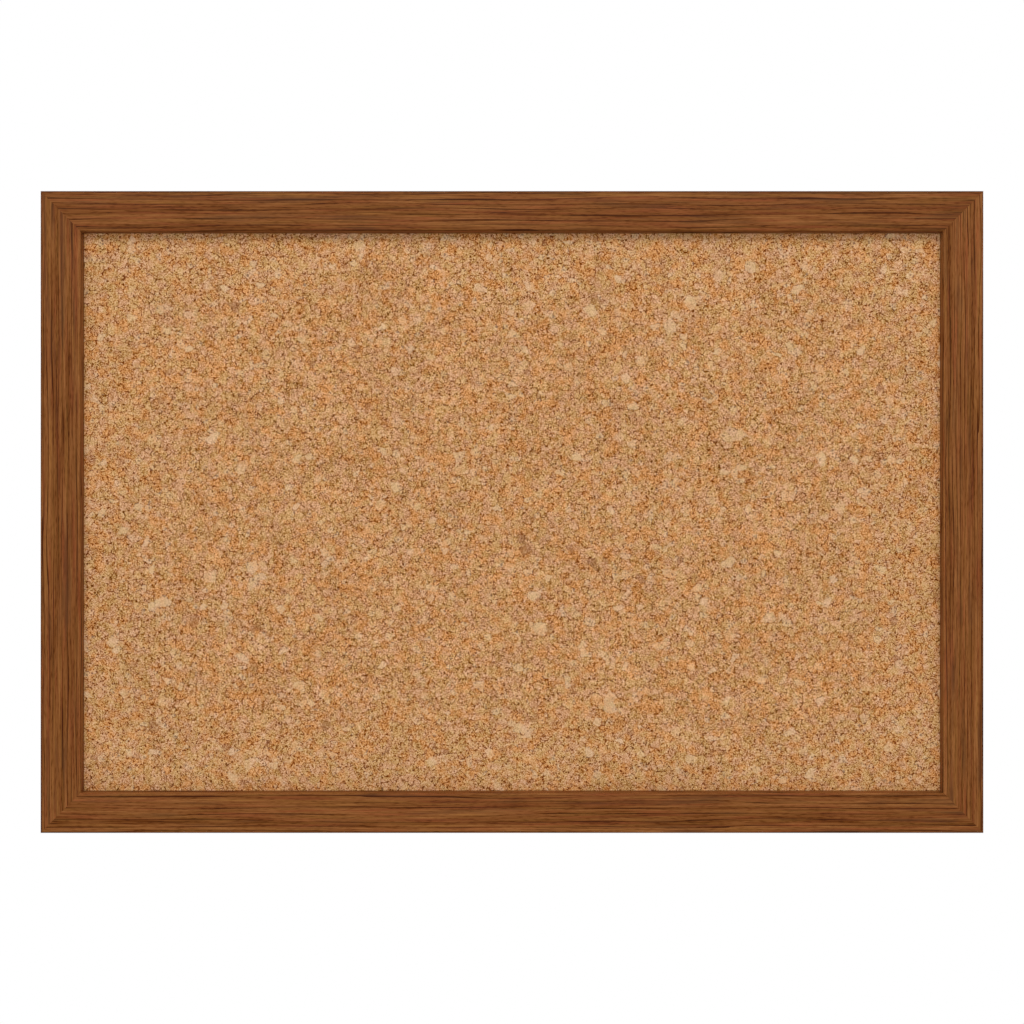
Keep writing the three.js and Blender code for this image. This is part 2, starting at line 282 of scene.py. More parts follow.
# %% Camera
lens_mm = 50
sensor_mm = 36
camera_distance = 708.1 * mm  # from the front of the frame
camera_data = bpy.data.cameras.new("camera")
camera_data.lens = lens_mm
camera_data.sensor_width = sensor_mm
camera = bpy.data.objects.new("camera", camera_data)
bpy.context.collection.objects.link(camera)
camera.location = (0, front_y - camera_distance, 0)
camera.rotation_euler = (math.pi / 2, 0, 0)
bpy.context.scene.camera = camera
print("width in view at the frame in mm:", round(camera_distance * sensor_mm / lens_mm / mm, 1))

# %% [markdown]
# ## Studio
# The photograph has a white ground and soft light from the front and above: the cork is darker
# for a few millimetres under the top rail and a little at the sides. A broad lamp above does that,
# a second one beside the camera fills it, and the world gives the rest. Two lamps behind light the
# back and the sides, and can't reach the front. The floor lies below the picture. The camera, glossy
# and transmitted rays all see the world as plain white, which is the background.

# %% Lamps, world and floor
def area_light(name, place, width, height, power):
    """An oblong lamp that faces the middle of the board."""
    data = bpy.data.lights.new(name, "AREA")
    data.shape = "RECTANGLE"
    data.size = width
    data.size_y = height
    data.energy = power
    lamp = bpy.data.objects.new(name, data)
    bpy.context.collection.objects.link(lamp)
    lamp.location = place
    lamp.rotation_euler = (-Vector(place)).to_track_quat("-Z", "Y").to_euler()


key_watts, fill_watts, behind_watts = 25, 16, 13
area_light("key_above", (0, -1.6, 1.35), 2.4, 1.0, key_watts)
area_light("fill_front", (0, -2.4, 0.1), 2.4, 1.0, fill_watts)
for side in (-1, 1):
    area_light("behind", (side * 1.3, 1.3, 0.6), 1.0, 1.0, behind_watts)

world_level = 0.38  # the world's share of the light, where white is 1
world = bpy.data.worlds.new("studio")
bpy.context.scene.world = world
world.use_nodes = True
sky = world.node_tree
ray = add(sky, "ShaderNodeLightPath").outputs
seen = add(sky, "ShaderNodeMath", {0: ray["Is Camera Ray"], 1: ray["Is Glossy Ray"]}, operation="ADD")
seen = add(sky, "ShaderNodeMath", {0: seen, 1: ray["Is Transmission Ray"]}, operation="ADD",
           use_clamp=True)
level = add(sky, "ShaderNodeMapRange", {"Value": seen, "To Min": world_level, "To Max": 1.0})
plug(sky, sky.nodes["Background"], {"Color": (1, 1, 1, 1), "Strength": level})

floor_z = -0.47
floor_radius = 0.48
bpy.ops.object.select_all(action="DESELECT")
bpy.ops.mesh.primitive_circle_add(
    vertices=96, radius=floor_radius, fill_type="NGON", location=(0, 0, floor_z))
floor = bpy.context.object
floor.name = "floor"
floor_paint, tree, shader, place = material("matt white floor paint")
plug(tree, shader, {"Base Color": linear(0xf2f1ee), "Roughness": 0.9})
floor.data.materials.append(floor_paint)
bpy.context.scene.view_settings.view_transform = "Standard"
print("lamps:", len(bpy.data.lights), "floor at z:", floor_z)

# %% [markdown]
# ## The oak's finish
# The frame is oak, planed, stained a warm brown and given a thin satin lacquer. Oak is
# ring-porous: each spring it grows a band of open pores, which soak up the stain and show as
# fine dark dashes along the grain, and denser, lighter wood after it. So the pattern is built in
# the rail's own directions: along the grain, across it from the outer edge, and into the wood.
# Slow bands across each rail, chosen from the photograph, give every rail its own figure.
# Fibres of 0.02 mm and pores of 0.2 mm are too fine for the picture, so both are drawn at 0.5 mm.

# %% Oak
stain_tones = [(0.0, linear(0x401a03)), (0.25, linear(0x5b2d05)), (0.5, linear(0x75441d)),
               (0.75, linear(0x835028)), (1.0, linear(0x946034))]
stain_hues = (linear(0x8a4524), linear(0x7a4f20), linear(0x54321a))
bare_tones = [(0.0, linear(0x80603f)), (0.3, linear(0xa5825a)), (0.6, linear(0xbd9a6e)),
              (1.0, linear(0xd0b088))]
bare_hues = (linear(0xb78a66), linear(0xb29668), linear(0x8e745a))
grain_figures = {  # length along the grain and width across it in mm, and detail
    "drift": (110, 9, 1.0),
    "fibre": (20, 0.52, 2.0),
    "slow": (120, 3.2, 2.0),
    "breaks": (90, 2.4, 2.0),
    "smoke": (44, 2.8, 3.0),
    "hue": (40, 1.5, 2.0),
}
pore_length, pore_width = 5, 0.5  # mm
band_drift = 5.0  # mm that a band wanders across the rail
flat_sawn = 0.35  # mm that a ring moves across for each mm into the wood


def oak(name, tones, hues, turn, reach, ring_width, bands, seed):
    """Oak for one rail, which a turn about Y brought from the top rail's place, where its outer edge
    lay at z = reach. Bands are shares of the width, from the outer edge, each with a tone from 0,
    dark, to 1, light. The lacquer is thin: satin on the fibres, and sunk a little in the pores."""
    made, tree, shader, place = material(name)
    laid = add(tree, "ShaderNodeMapping", {"Vector": place, "Rotation": (0, -turn, 0)})
    axes = add(tree, "ShaderNodeSeparateXYZ", {0: laid}).outputs
    across = add(tree, "ShaderNodeMath", {0: reach / mm, 1: axes["Z"]}, operation="SUBTRACT")
    wood = add(tree, "ShaderNodeCombineXYZ", {"X": axes["X"], "Y": across, "Z": axes["Y"]})
    noise = {}
    for figure, (length, width, detail) in grain_figures.items():
        stretched = add(tree, "ShaderNodeMapping", {
            "Vector": wood, "Scale": (1 / length, 1 / width, 1 / width),
            "Location": (seed, 3 * seed, 5 * seed)})
        noise[figure] = add(tree, "ShaderNodeTexNoise", {
            "Vector": stretched, "Scale": 1.0, "Detail": detail, "Roughness": 0.55})

    # broad bands of tone, which drift across the rail along its length
    drifted = add(tree, "ShaderNodeMath", {0: noise["drift"], 1: band_drift, 2: across},
                  operation="MULTIPLY_ADD")
    share = add(tree, "ShaderNodeMapRange", {
        "Value": drifted, "From Min": band_drift / 2, "From Max": band_drift / 2 + rail_width / mm})
    band = add(tree, "ShaderNodeValToRGB", {0: share}, stops=[(s, (t, t, t, 1)) for s, t in bands])
    band.color_ramp.interpolation = "B_SPLINE"

    # growth rings: each starts with a sharp dark line of pores, which breaks off here and there
    into = add(tree, "ShaderNodeMath", {0: axes["Y"], 1: flat_sawn, 2: drifted},
               operation="MULTIPLY_ADD")
    uneven = add(tree, "ShaderNodeMath", {0: noise["slow"], 1: 1.3 * ring_width, 2: into},
                 operation="MULTIPLY_ADD")
    rings = add(tree, "ShaderNodeMath", {0: uneven, 1: ring_width}, operation="DIVIDE")
    ring = add(tree, "ShaderNodeMath", {0: rings}, operation="FRACT")
    line = add(tree, "ShaderNodeMapRange", {
        "Value": ring, "From Min": 0.0, "From Max": 0.21, "To Min": 1.0, "To Max": 0.0})
    unbroken = add(tree, "ShaderNodeMapRange", {
        "Value": noise["breaks"], "From Min": 0.38, "From Max": 0.58, "To Min": 0.15, "To Max": 1.0})
    line = add(tree, "ShaderNodeMath", {0: line, 1: unbroken}, operation="MULTIPLY")
    stretched = add(tree, "ShaderNodeMapping", {
        "Vector": wood, "Scale": (1 / pore_length, 1 / pore_width, 1 / pore_width)})
    pores = add(tree, "ShaderNodeTexVoronoi", {"Vector": stretched, "Scale": 1.0})
    pore = add(tree, "ShaderNodeMapRange", {
        "Value": pores, "From Min": 0.12, "From Max": 0.42, "To Min": 1.0, "To Max": 0.0})

    # the rounded outer edge is drawn darker at the front, and the sight edge is painted lighter
    outer = add(tree, "ShaderNodeMapRange", {"Value": across, "From Min": 1.3, "From Max": 0.1})
    fore = add(tree, "ShaderNodeMapRange", {
        "Value": axes["Y"], "From Min": front_y / mm + 2.2, "From Max": front_y / mm + 0.8})
    edge = add(tree, "ShaderNodeMath", {0: outer, 1: fore}, operation="MULTIPLY")
    # painted light: the sight edge and the lip's inner wall are drawn lighter, which lifts the shade
    # that falls on them
    sight_painted_light = add(tree, "ShaderNodeMapRange", {
        "Value": across, "From Min": rail_width / mm - 1.2, "From Max": rail_width / mm})
    tone = add(tree, "ShaderNodeMath", {0: band, 1: -0.93}, operation="ADD")
    shares = ((noise["fibre"], 1.4), (noise["slow"], 0.85), (line, -1.15), (pore, -0.35),
              (edge, -0.35), (sight_painted_light, 0.3))
    for source, share in shares:
        tone = add(tree, "ShaderNodeMath", {0: source, 1: share, 2: tone}, operation="MULTIPLY_ADD")
    colour = add(tree, "ShaderNodeValToRGB", {0: tone}, stops=tones)

    # streaks that took the stain redder, greener or smoky
    red, olive, smoke = hues
    streaks = (("hue", 0.52, 0.68, 0.6, red, "COLOR"), ("hue", 0.46, 0.32, 0.45, olive, "COLOR"),
               ("smoke", 0.54, 0.7, 0.65, smoke, "MIX"))
    for figure, start, full, most, tint, blend in streaks:
        streak = add(tree, "ShaderNodeMapRange", {
            "Value": noise[figure], "From Min": start, "From Max": full, "To Max": most})
        colour = add(tree, "ShaderNodeMix", {"Factor": streak, "A": colour, "B": tint},
                     data_type="RGBA", blend_type=blend)

    gloss = add(tree, "ShaderNodeMapRange", {
        "Value": noise["fibre"], "From Min": 0.3, "From Max": 0.7, "To Min": 0.42, "To Max": 0.56})
    depth = add(tree, "ShaderNodeMath", {0: pore, 1: 0.5, 2: line}, operation="MULTIPLY_ADD")
    bump = add(tree, "ShaderNodeBump", {"Height": depth, "Distance": -0.06 * mm, "Strength": 0.5})
    plug(tree, shader, {
        "Base Color": colour, "Roughness": gloss, "Specular IOR Level": 0.055, "Normal": bump})
    return made


# %% [markdown]
# ## What holds the frame together
# The mitres are closed from behind by angled wedges, two to a corner: short strips of spring steel,
# bent to a right angle, with their ends turned in so that they draw the two rails together. A strip
# is easiest to make as it is bent: a line of edges, pulled out to its width, then given its
# thickness. The same function, with a margin all round, gives the pocket. Wedges, points and screws
# are made before the rails, because a rail is cut to take them.

# %% Wedges for the corners, and their pockets
wedge_thickness = 0.5 * mm
wedge_leg = 7 * mm
wedge_curl = 1.2 * mm
corner_turns = {"top_right": 0, "bottom_right": math.pi / 2, "bottom_left": math.pi,
                "top_left": -math.pi / 2}


def wedge(name, margin, near_y, far_y):
    """A strip bent to an angle, with its corner on the Y axis, its legs along -X and -Z and their
    ends turned in. A margin all round makes it the pocket."""
    end = wedge_leg + margin
    bend = wedge_leg - wedge_curl
    one_leg = [(-end, near_y, -wedge_curl), (-bend, near_y, 0)]
    other_leg = [(z, y, x) for x, y, z in reversed(one_leg)]
    piece = trace(name, [*one_leg, (0, near_y, 0), *other_leg])
    bpy.ops.mesh.select_all(action="SELECT")
    extrude((0, far_y - near_y, 0))
    face_outwards()
    apply(piece, "SOLIDIFY", thickness=wedge_thickness + 2 * margin, offset=0, use_even_offset=True)
    return piece


wedge_low, wedge_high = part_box("wedge_top_right_1")
wedge_blank = wedge("wedge_blank", 0, wedge_low.y, wedge_high.y)
break_edges(wedge_blank, width=0.06 * mm)
pocket_blank = wedge("pocket_blank", fit_clearance, wedge_low.y - fit_clearance, back_y + mm)

wedge_pieces = {}
cutters = []
for corner, turn in corner_turns.items():
    for number in (1, 2):
        node = f"wedge_{corner}_{number}"
        low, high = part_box(node)
        half = wedge_thickness / 2
        x = high.x - half if "right" in corner else low.x + half
        z = high.z - half if "top" in corner else low.z + half
        wedge_pieces[node] = copy_of(wedge_blank, f"steel_{node}", turn, (x, 0, z))
        cutters.append(copy_of(pocket_blank, f"pocket_{node}", turn, (x, 0, z)))
discard(wedge_blank, pocket_blank)
print("wedges:", len(wedge_pieces))

# %% [markdown]
# The flat points are small arrowheads of steel plate. One is cut from a block: its front end is
# drawn to a tip, the corners of its tail are taken off, and a slightly larger one makes the slots.

# %% Flat points, and their slots
point_tip = 3.5 * mm
tip_share = 0.04  # the tip's width as a share of the blank's
point_nodes = sorted(name for name in frame["nodes"] if name.startswith("point_"))
side_turns = {"top": 0, "right": math.pi / 2, "bottom": math.pi, "left": -math.pi / 2}


def flat_point(name, size, margin):
    """A point with its tip up and its middle on the origin."""
    half = size / 2 + Vector((margin, margin, margin))
    piece = block(name, -half, half)
    bpy.ops.mesh.select_all(action="SELECT")
    bpy.ops.mesh.bisect(plane_co=(0, 0, half.z - point_tip), plane_no=(0, 0, 1))
    select(piece, "VERT", lambda co: near(co.z, half.z))
    bpy.ops.transform.resize(value=(tip_share, 1, 1), center_override=(0, 0, half.z))
    for side in (-half.x, half.x):
        select(piece, "EDGE", lambda co: near(co.z, -half.z) and near(co.x, side))
        bpy.ops.mesh.bevel(offset=half.x * 0.7, segments=4, affect="EDGES")
    bpy.ops.object.mode_set(mode="OBJECT")
    return piece


low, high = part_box("point_top_1")
point_blank = flat_point("point_blank", high - low, 0)
break_edges(point_blank)
slot_blank = flat_point("slot_blank", high - low, fit_clearance)
point_pieces = {}
for node in point_nodes:
    side = node.split("_")[1]
    low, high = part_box(node)
    point_pieces[node] = copy_of(point_blank, f"steel_{node}", side_turns[side], (low + high) / 2)
    cutters.append(copy_of(slot_blank, f"slot_{node}", side_turns[side], (low + high) / 2))
discard(point_blank, slot_blank)
print("points:", len(point_pieces))

# %% [markdown]
# Each screw goes into a pilot hole. All the cutters are then joined to one, so that a rail is cut
# once for its wedges, points and screws together.

# %% Pilot holes for the hangers' screws, and one cutter for all the fasteners
screw_radius = 1.5 * mm
for label in ("left", "right"):
    low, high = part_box(f"hanger_screw_{label}")
    middle = (low + high) / 2
    centre = Vector((middle.x, low.y - fit_clearance, middle.z))
    pilot_radius = screw_radius + fit_clearance
    cutters.append(drill(f"pilot_{label}", centre, pilot_radius, 24, back_y + mm - low.y))

bpy.ops.object.select_all(action="DESELECT")
for piece in cutters:
    piece.select_set(True)
bpy.context.view_layer.objects.active = cutters[0]
bpy.ops.object.join()
fastener_cutter = bpy.context.object
fastener_cutter.name = "fastener_cutter"
print("cutters joined:", len(cutters))

# %% [markdown]
# ## The rails
# A rail is a strip of moulding: a square blank with a rabbet planed out behind, so that a lip is
# left over the panel, then its long edges rounded, then both ends sawn at 45 degrees. It is made
# in that order here, because a bevel that is made before the saw cuts runs out cleanly through
# them. All four are made lying along X, as the top rail lies, and turned to their sides.

# %% One rail
outer_edge_radius = 1.2 * mm
sight_edge_radius = 1.1 * mm
back_arris = 0.5 * mm


def rail(name, reach, length, turn):
    """A mitred rail along X with its outer edge at z = reach, turned about Y to its side."""
    lip_y = front_y + lip_thickness
    land_z = reach - land_width
    sight_z = reach - rail_width
    half = length / 2 + mm
    piece = block(name, (-half, front_y, land_z), (half, back_y, reach))
    bpy.ops.mesh.select_all(action="SELECT")
    bpy.ops.mesh.bisect(plane_co=(0, lip_y, 0), plane_no=(0, 1, 0))
    select(piece, "FACE", lambda co: near(co.z, land_z) and co.y < lip_y + glue_line)
    extrude((0, 0, -lap_width))

    rounded = ((front_y, reach, outer_edge_radius, 8), (front_y, sight_z, sight_edge_radius, 8),
               (back_y, reach, back_arris, 2), (back_y, land_z, back_arris, 2))
    for y, z, radius, segments in rounded:
        select(piece, "EDGE", lambda co: near(co.y, y) and near(co.z, z))
        bpy.ops.mesh.bevel(offset=radius, segments=segments, affect="EDGES")

    for side in (-1, 1):
        bpy.ops.mesh.select_mode(type="VERT")
        bpy.ops.mesh.select_all(action="SELECT")
        saw = (side * (length - glue_line) / 2, 0, reach)
        bpy.ops.mesh.bisect(plane_co=saw, plane_no=(side, 0, -1), clear_outer=True, use_fill=True)
    bpy.ops.object.mode_set(mode="OBJECT")
    piece.data.transform(Matrix.Rotation(turn, 4, "Y"))
    cut(piece, fastener_cutter)
    return piece


# %% [markdown]
# The back of a frame isn't stained: the finisher sprays the front and the sides and lays the
# rail on its back. So the faces that look back, and the wall of the rabbet, get bare oak.

# %% Four rails with their own figure
rails = {  # turn, reach, length, ring width in mm, seed, bands
    "top_rail": (0, reach_z, 2 * reach_x, 2.7, 1.7, [
        (0.0, 0.37), (0.1, 0.52), (0.3, 0.47), (0.45, 0.4), (0.56, 0.24), (0.7, 0.59),
        (0.86, 0.42), (1.0, 0.22)]),
    "bottom_rail": (math.pi, reach_z, 2 * reach_x, 2.9, 4.3, [
        (0.0, 0.43), (0.1, 0.52), (0.2, 0.5), (0.27, 0.26), (0.34, 0.36), (0.42, 0.48),
        (0.6, 0.42), (0.75, 0.5), (0.88, 0.45), (0.94, 0.33), (1.0, 0.41)]),
    "left_stile": (-math.pi / 2, reach_x, 2 * reach_z, 2.3, 7.9, [
        (0.0, 0.47), (0.1, 0.53), (0.3, 0.54), (0.4, 0.42), (0.47, 0.44), (0.55, 0.54),
        (0.67, 0.54), (0.73, 0.42), (0.79, 0.56), (0.84, 0.42), (0.9, 0.51), (1.0, 0.47)]),
    "right_stile": (math.pi / 2, reach_x, 2 * reach_z, 1.8, 12.6, [
        (0.0, 0.28), (0.05, 0.33), (0.12, 0.7), (0.2, 0.65), (0.26, 0.26), (0.36, 0.55),
        (0.5, 0.43), (0.65, 0.63), (0.8, 0.53), (0.86, 0.09), (0.91, 0.5), (1.0, 0.48)]),
}
for node, (turn, reach, length, ring_width, seed, bands) in rails.items():
    piece = rail(f"oak_{node}", reach, length, turn)
    figure = (turn, reach, ring_width, bands, seed)
    stained = oak(f"stained oak {node}", stain_tones, stain_hues, *figure)
    bare = oak(f"bare oak {node}", bare_tones, bare_hues, *figure)
    finish(piece, "board", [stained, bare], [node])
    back_to_front = Matrix.Rotation(-turn, 4, "Y")
    for face in piece.data.polygons:
        normal = back_to_front @ face.normal
        middle = back_to_front @ face.center
        in_rabbet = middle.z < reach - land_width + 0.01 * mm and middle.y > front_y + lip_thickness
        face.material_index = int(normal.y > 0.5 or in_rabbet)
discard(fastener_cutter)

# %% [markdown]
# ## The cork
# Cork board is agglomerate: bark is ground to granules of about 1 to 7 mm, pressed to a block with
# a binder and sliced. A slice shows each granule as a patch of its own tone, from cream through
# tan to orange brown, with a thin seam of binder round it, and here and there a dark crack or a
# crumb of outer bark. Three sizes of cells are packed together for that, on ground that is torn a
# little, so that their straight borders get ragged. The same cells drive the relief of the mesh, so
# every granule that is a patch of colour is a low swelling too, and every seam a small groove.

# %% Granules, for the finish and for the relief
granule_sizes_mm = (2.6, 3.6, 5.0)
granule_shares = (0.35, 0.11)  # of the middle and the large size
tear_mm = 1.7


def granules(tree, place):
    """Packs granules of three sizes. Gives each point its place on the torn ground, and its granule's
    tone and hue, from 0 to 1, with the distance to the granule's edge in mm."""
    axes = add(tree, "ShaderNodeSeparateXYZ", {0: place}).outputs
    flat = add(tree, "ShaderNodeCombineXYZ", {"X": axes["X"], "Y": axes["Z"]})
    sway = add(tree, "ShaderNodeTexNoise", {
        "Vector": flat, "Scale": 0.7, "Detail": 3.0, "Roughness": 0.75}, noise_dimensions="2D")
    shift = add(tree, "ShaderNodeVectorMath", {0: sway.outputs["Color"], 1: (0.5, 0.5, 0.5)},
                operation="SUBTRACT")
    torn = add(tree, "ShaderNodeVectorMath", {0: shift, 1: (tear_mm, tear_mm, 0), 2: flat},
               operation="MULTIPLY_ADD")
    chosen = None
    for size, share in zip(granule_sizes_mm, (1, *granule_shares)):
        ground = {"Vector": torn, "Scale": 1 / size, "Randomness": 1.0}
        cells = add(tree, "ShaderNodeTexVoronoi", ground, voronoi_dimensions="2D")
        edges = add(tree, "ShaderNodeTexVoronoi", ground, voronoi_dimensions="2D",
                    feature="DISTANCE_TO_EDGE")
        dice = add(tree, "ShaderNodeSeparateXYZ", {0: cells.outputs["Color"]}).outputs
        gap = add(tree, "ShaderNodeMath", {0: edges, 1: size}, operation="MULTIPLY")
        packed = add(tree, "ShaderNodeCombineXYZ", {"X": dice["X"], "Y": dice["Y"], "Z": gap})
        if chosen is None:
            chosen = packed
            continue
        picked = add(tree, "ShaderNodeMath", {0: dice["Z"], 1: share}, operation="LESS_THAN")
        chosen = add(tree, "ShaderNodeMix", {"Factor": picked, "A": chosen, "B": packed},
                     data_type="VECTOR")
    return torn, add(tree, "ShaderNodeSeparateXYZ", {0: chosen}).outputs


# %% [markdown]
# The colour is built in two steps. First a single shade is summed up, from 0 for the bottom of a
# crack to 1 for the palest crumb. Then that shade picks a colour on three ramps, straw, pink and
# rust, which are mixed by slow patches and by each granule's own hue. Cork's cells are 0.04 mm wide,
# too fine for the picture, so its grain is drawn about ten times as coarse.

# %% Raw cork
cork_places = (0.0, 0.2, 0.4, 0.72, 1.0)
straw_tones = (0x643204, 0x955d1c, 0xb4864c, 0xcfa36e, 0xe4ba8a)
pink_tones = (0x68320a, 0x985e2c, 0xb88459, 0xd3a179, 0xe6bb97)
rust_tones = (0x6c2c00, 0x9b5712, 0xbb7e42, 0xd69a63, 0xe8b17d)
cream_tone = 0xdcc3a0
bark_tone = 0x8a5a40
grain_mm = 0.46
crumb_mm = 0.55
cork_specks = ((1.3, 0.8, 0.42), (2.6, 0.75, 0.26))  # spacing in mm, rarity, radius


def raw_cork():
    """Raw agglomerated cork: dry and matt, mottled granule by granule, and dark in its cracks."""
    made, tree, shader, place = material("raw agglomerated cork")
    torn, (tone, hue, gap) = granules(tree, place)

    # the tone: crumbs inside a granule, fine grain, and the granule's own
    crumbs = add(tree, "ShaderNodeTexVoronoi", {"Vector": torn, "Scale": 1 / crumb_mm},
                 voronoi_dimensions="2D")
    crumb = add(tree, "ShaderNodeSeparateXYZ", {0: crumbs.outputs["Color"]}).outputs["X"]
    grain = add(tree, "ShaderNodeTexNoise", {"Vector": place, "Scale": 1 / grain_mm, "Detail": 0.0})
    fine = add(tree, "ShaderNodeMath", {0: crumb, 1: 0.4, 2: -0.955}, operation="MULTIPLY_ADD")
    fine = add(tree, "ShaderNodeMath", {0: grain, 1: 1.5, 2: fine}, operation="MULTIPLY_ADD")
    rough = add(tree, "ShaderNodeMapRange", {
        "Value": tone, "From Min": 0.3, "From Max": 0.95, "To Min": 1.0, "To Max": 0.85})
    fine = add(tree, "ShaderNodeMath", {0: fine, 1: rough}, operation="MULTIPLY")
    own = add(tree, "ShaderNodeMath", {0: tone, 1: 0.18, 2: 0.487}, operation="MULTIPLY_ADD")
    shade = add(tree, "ShaderNodeMath", {0: own, 1: fine}, operation="ADD")

    # the binder darkens the border of every granule
    seam = add(tree, "ShaderNodeMapRange", {
        "Value": gap, "From Min": 0.05, "From Max": 0.4, "To Min": 1.0, "To Max": 0.0})
    shade = add(tree, "ShaderNodeMath", {0: seam, 1: -0.1, 2: shade}, operation="MULTIPLY_ADD")

    # darker still are the gaps where granules part, and specks of bark
    parting = add(tree, "ShaderNodeTexNoise", {"Vector": torn, "Scale": 1 / 1.7, "Detail": 2.0})
    gap_width = add(tree, "ShaderNodeMapRange", {
        "Value": parting, "From Min": 0.49, "From Max": 0.66, "To Min": 0.01, "To Max": 0.32})
    crack = add(tree, "ShaderNodeMath", {0: gap, 1: gap_width}, operation="DIVIDE")
    crack = add(tree, "ShaderNodeMapRange", {
        "Value": crack, "From Min": 0.4, "To Min": 1.0, "To Max": 0.0})
    shade = add(tree, "ShaderNodeMath", {0: crack, 1: -1.0, 2: shade}, operation="MULTIPLY_ADD")
    for spacing, rarity, radius in cork_specks:
        specks = add(tree, "ShaderNodeTexVoronoi", {"Vector": torn, "Scale": 1 / spacing},
                     voronoi_dimensions="2D")
        dice = add(tree, "ShaderNodeSeparateXYZ", {0: specks.outputs["Color"]}).outputs
        speck_size = add(tree, "ShaderNodeMapRange", {
            "Value": dice["X"], "From Min": rarity, "From Max": 1.0, "To Min": 0.01, "To Max": radius})
        speck = add(tree, "ShaderNodeMath", {0: specks.outputs["Distance"], 1: speck_size},
                    operation="DIVIDE")
        speck = add(tree, "ShaderNodeMapRange", {
            "Value": speck, "From Min": 0.55, "From Max": 1.1, "To Min": 1.0, "To Max": 0.0})
        depth = add(tree, "ShaderNodeMath", {0: dice["Y"], 1: -0.8, 2: -0.3}, operation="MULTIPLY_ADD")
        shade = add(tree, "ShaderNodeMath", {0: speck, 1: depth, 2: shade}, operation="MULTIPLY_ADD")

    # the hue: soft patches over several granules, and a little of each granule's own
    patches = add(tree, "ShaderNodeTexNoise", {
        "Vector": place, "Scale": 1 / 5.5, "Detail": 1.0, "Roughness": 0.5})
    patch = add(tree, "ShaderNodeSeparateXYZ", {0: patches.outputs["Color"]}).outputs
    straw, pink, rust = (
        add(tree, "ShaderNodeValToRGB", {0: shade},
            stops=[(stop, linear(hex_tone)) for stop, hex_tone in zip(cork_places, tones)])
        for tones in (straw_tones, pink_tones, rust_tones))
    pinkness = add(tree, "ShaderNodeMath", {0: hue, 1: 0.12, 2: patch["X"]}, operation="MULTIPLY_ADD")
    pinkness = add(tree, "ShaderNodeMapRange", {"Value": pinkness, "From Min": 0.46, "From Max": 0.69})
    colour = add(tree, "ShaderNodeMix", {"Factor": pinkness, "A": straw, "B": pink}, data_type="RGBA")
    rustiness = add(tree, "ShaderNodeMath", {0: hue, 1: -0.1, 2: patch["Y"]}, operation="MULTIPLY_ADD")
    rustiness = add(tree, "ShaderNodeMath", {0: seam, 1: 0.12, 2: rustiness}, operation="MULTIPLY_ADD")
    rustiness = add(tree, "ShaderNodeMapRange", {"Value": rustiness, "From Min": 0.46, "From Max": 0.65})
    colour = add(tree, "ShaderNodeMix", {"Factor": rustiness, "A": colour, "B": rust}, data_type="RGBA")

    # a few granules are cream all through, and very few are brown bark
    for start, full, most, tint in ((0.86, 1.0, 0.32, cream_tone), (0.02, 0.0, 0.4, bark_tone)):
        rare = add(tree, "ShaderNodeMapRange", {
            "Value": tone, "From Min": start, "From Max": full, "To Max": most})
        colour = add(tree, "ShaderNodeMix", {"Factor": rare, "A": colour, "B": linear(tint)},
                     data_type="RGBA")
    cloud = add(tree, "ShaderNodeTexNoise", {"Vector": place, "Scale": 1 / 20, "Detail": 2.0})
    level = add(tree, "ShaderNodeMath", {0: cloud, 1: 0.24, 2: 0.88}, operation="MULTIPLY_ADD")
    clouded = add(tree, "ShaderNodeVectorMath", {0: colour, "Scale": level}, operation="SCALE")
    bump = add(tree, "ShaderNodeBump", {"Height": grain, "Distance": 0.2 * mm, "Strength": 0.8})
    plug(tree, shader, {
        "Base Color": clouded, "Roughness": 0.95, "Specular IOR Level": 0.1, "Normal": bump})
    return made


# %% [markdown]
# A slice of cork is never quite smooth: the saw leaves the middle of each granule a little higher
# than its border, and one granule higher than the next. Small geometry nodes lift the sheet's
# vertices by a sixth of a millimetre for that.

# %% Relief of the cork's face, as geometry nodes
relief_height = 0.16 * mm


def cork_relief():
    """Lifts the middles of the granules towards the front, for vertices on the sheet's face alone."""
    tree = bpy.data.node_groups.new("cork relief", "GeometryNodeTree")
    tree.interface.new_socket("Geometry", in_out="INPUT", socket_type="NodeSocketGeometry")
    tree.interface.new_socket("Geometry", in_out="OUTPUT", socket_type="NodeSocketGeometry")
    start = add(tree, "NodeGroupInput")
    position = add(tree, "GeometryNodeInputPosition")
    place = add(tree, "ShaderNodeVectorMath", {0: position, "Scale": 1 / mm}, operation="SCALE")
    torn, (tone, hue, gap) = granules(tree, place)
    swell = add(tree, "ShaderNodeMapRange", {
        "Value": gap, "From Max": 0.6, "To Min": -0.5, "To Max": 0.3})
    level = add(tree, "ShaderNodeMath", {0: hue, 1: 0.4, 2: swell}, operation="MULTIPLY_ADD")
    depth = add(tree, "ShaderNodeMath", {0: level, 1: -relief_height}, operation="MULTIPLY")
    axes = add(tree, "ShaderNodeSeparateXYZ", {0: position}).outputs
    on_face = add(tree, "ShaderNodeMath", {0: axes["Y"], 1: field_front_y + 0.01 * mm},
                  operation="LESS_THAN")
    offset = add(tree, "ShaderNodeMath", {0: depth, 1: on_face}, operation="MULTIPLY")
    lift = add(tree, "ShaderNodeCombineXYZ", {"Y": offset})
    moved = add(tree, "GeometryNodeSetPosition", {"Geometry": start, "Offset": lift})
    add(tree, "NodeGroupOutput", {0: moved})
    return tree


# %% [markdown]
# The sheet starts as a fine grid, with a cell of a little over a millimetre, so that the relief has
# something to move. Its border is drawn back and out, as the lip squeezes it, and then closed.

